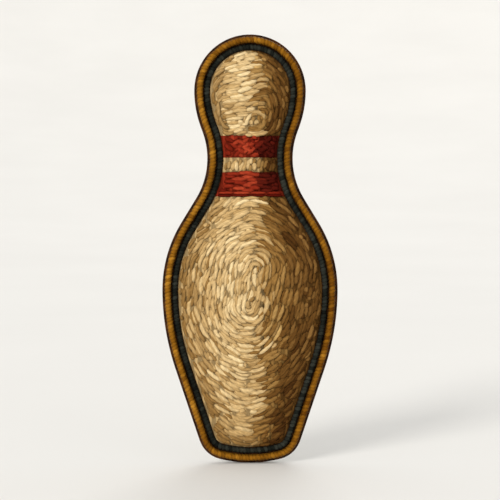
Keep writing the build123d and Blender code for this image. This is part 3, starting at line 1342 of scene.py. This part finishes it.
# ---- Bobbin stitches on the back ----

# A bobbin stitch's height, the place of its middle and the depth of its bed, as shares of the layer's.
BOBBIN_LAYER = BOBBIN_FRONT - FILM_FRONT
BOBBIN_WIDTH = 0.34
BOBBIN_HEIGHT_SHARE = 0.7
BOBBIN_MIDDLE_SHARE = 0.45
BOBBIN_BED_SHARE = 0.6
BOBBIN_TONES = (0.4, 0.9)


def sunk_slab(points):
    """Points of a bobbin thread's solid, its back face moved forward to leave room for the stitches."""
    moved = points.copy()
    back = -points[:, 1] < (FILM_FRONT + BOBBIN_FRONT) / 2
    moved[back, 1] -= BOBBIN_BED_SHARE * BOBBIN_LAYER
    return moved


def show_bobbin(part, flat, scatter, draws):
    """Makes a piece of bobbin stitches along lines of places (x, z), at depths that stray by `scatter`."""
    count = len(flat)
    middle = FILM_FRONT + BOBBIN_LAYER * BOBBIN_MIDDLE_SHARE
    lines = at_depth(flat, middle + draws.uniform(0, scatter, count)[:, None])
    outward = np.broadcast_to([0.0, 1.0, 0.0], lines.shape)
    strands = (lines, outward, BOBBIN_WIDTH, BOBBIN_HEIGHT_SHARE * BOBBIN_LAYER)
    sew(part, BOBBIN, "bobbin_thread", sunk_slab, *strands, draws.uniform(*BOBBIN_TONES, count))


RING_PITCH = 0.36
RING_STEPS = 9
RING_MARGIN = 0.1
RING_SLANT = 0.4
RING_WIDTHS = (0.9, 1.0)
RING_SLANTS = (0.6, 1.4)
RING_DEPTHS = 0.02


def bobbin_ring():
    """White stitches across the border and the outline, as they show on the back."""
    draws = np.random.default_rng(31)
    middle = (BORDER_INSET + FILL_INSET) / 2
    count = round(loop_length(EDGE + INWARD * middle) / RING_PITCH)
    reach = np.linspace(-0.5, 0.5, RING_STEPS)
    across = reach * (FILL_INSET - BORDER_INSET - RING_MARGIN) * draws.uniform(*RING_WIDTHS, count)[:, None]
    along = RING_SLANT * reach * draws.uniform(*RING_SLANTS, count)[:, None]
    show_bobbin("bobbin_border", across_ring(*ring(middle, count), across, along), RING_DEPTHS, draws)


BACK_SPACING = (0.36, 1.9)
BACK_LENGTHS = (2.2, 3.4)
BACK_TURN = 9
BACK_DEPTHS = 0.03


def bobbin_fill():
    """White stitches behind the filling, which run as the belly's stitches do."""
    draws = np.random.default_rng(32)
    heights = (BELLY[0], HEAD[1])
    centres = scattered(belly_flow, heights, *BACK_SPACING, draws)
    lengths = draws.uniform(*BACK_LENGTHS, len(centres))
    turns = np.radians(draws.normal(0, BACK_TURN, len(centres)))
    lines, kept = stitch_lines(belly_flow, centres, lengths, turns, heights)
    show_bobbin("bobbin_fill", lines[kept], BACK_DEPTHS, draws)


bobbin_ring()
bobbin_fill()

# ---- The studio ----

low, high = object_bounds()
CENTRE = (low + high) / 2
FLOOR_REACH = 2.0
FLOOR_LIP = 0.5
FLOOR_RINGS = 32
FLOOR_SPOKES = 96
FLOOR_GAP = 0.02 * MM


def pale_paper():
    """Plain pale paper, very slightly uneven."""
    nodes = Nodes("Floor")
    cloudy = nodes.noise(nodes.place, 9.0)
    tint = nodes.ramp(cloudy, [(0.2, (222, 221, 218)), (0.8, (227, 226, 223))])
    nodes.join(tint, nodes.shader.inputs["Base Color"])
    nodes.set(Roughness=0.9)
    return nodes.material


def studio_floor():
    """A round floor that sweeps gently upwards all round, so that it shows no horizon."""
    profile = [(FLOOR_REACH * share, FLOOR_LIP * share**3) for share in np.linspace(0, 1, FLOOR_RINGS)]
    work = bmesh.new()
    verts = [work.verts.new((reach, 0, height)) for reach, height in profile]
    edges = [work.edges.new(pair) for pair in zip(verts, verts[1:])]
    turn = {"axis": UP_AXIS, "angle": 2 * math.pi, "steps": FLOOR_SPOKES}
    bmesh.ops.spin(work, geom=verts + edges, **turn, use_merge=True)
    bmesh.ops.remove_doubles(work, verts=work.verts, dist=MM)
    bmesh.ops.recalc_face_normals(work, faces=work.faces)
    mesh = bpy.data.meshes.new("floor")
    work.to_mesh(mesh)
    work.free()
    mesh.polygons.foreach_set("use_smooth", [True] * len(mesh.polygons))
    mesh.materials.append(pale_paper())
    floor = placed("floor", mesh)
    floor.location = (0, 0, low.z - FLOOR_GAP)
    floor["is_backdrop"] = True


def lamp(name, direction, spread, strength, tint):
    """A soft light from far off in a direction, which fills `spread` degrees of the sky."""
    light = bpy.data.lights.new(name, "SUN")
    light.angle = math.radians(spread)
    light.energy = strength
    light.color = tint
    placed(name, light).rotation_euler = (-Vector(direction)).to_track_quat("-Z", "Y").to_euler()


SKY_LIGHT = 0.76
LENS = 85.0
FILLED = 0.86
ELEVATION = math.radians(2)


def camera():
    """A long lens straight in front of the patch, very slightly raised."""
    view = bpy.data.cameras.new("camera")
    view.lens = LENS
    view.clip_start = 0.01
    seen = placed("camera", view)
    distance = (high.z - low.z) / FILLED / 2 / (view.sensor_width / 2 / LENS)
    back = Vector((0, -math.cos(ELEVATION), math.sin(ELEVATION)))
    seen.location = CENTRE + back * distance
    seen.rotation_euler = (-back).to_track_quat("-Z", "Y").to_euler()
    bpy.context.scene.camera = seen


def surroundings():
    """Even pale light from all round."""
    world = bpy.data.worlds.new("studio")
    world.use_nodes = True
    background = world.node_tree.nodes["Background"]
    background.inputs["Color"].default_value = (1.0, 0.99, 0.97, 1)
    background.inputs["Strength"].default_value = SKY_LIGHT
    bpy.context.scene.world = world


studio_floor()
surroundings()
lamp("key", (-240, -290, 190), 22, 1.8, (1.0, 0.97, 0.92))
lamp("fill", (280, -260, 60), 38, 0.3, (1.0, 0.98, 0.95))
lamp("rim", (60, 320, 220), 32, 0.7, (1.0, 1.0, 1.0))
camera()
bpy.context.scene.view_settings.view_transform = "Standard"

low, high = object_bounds()
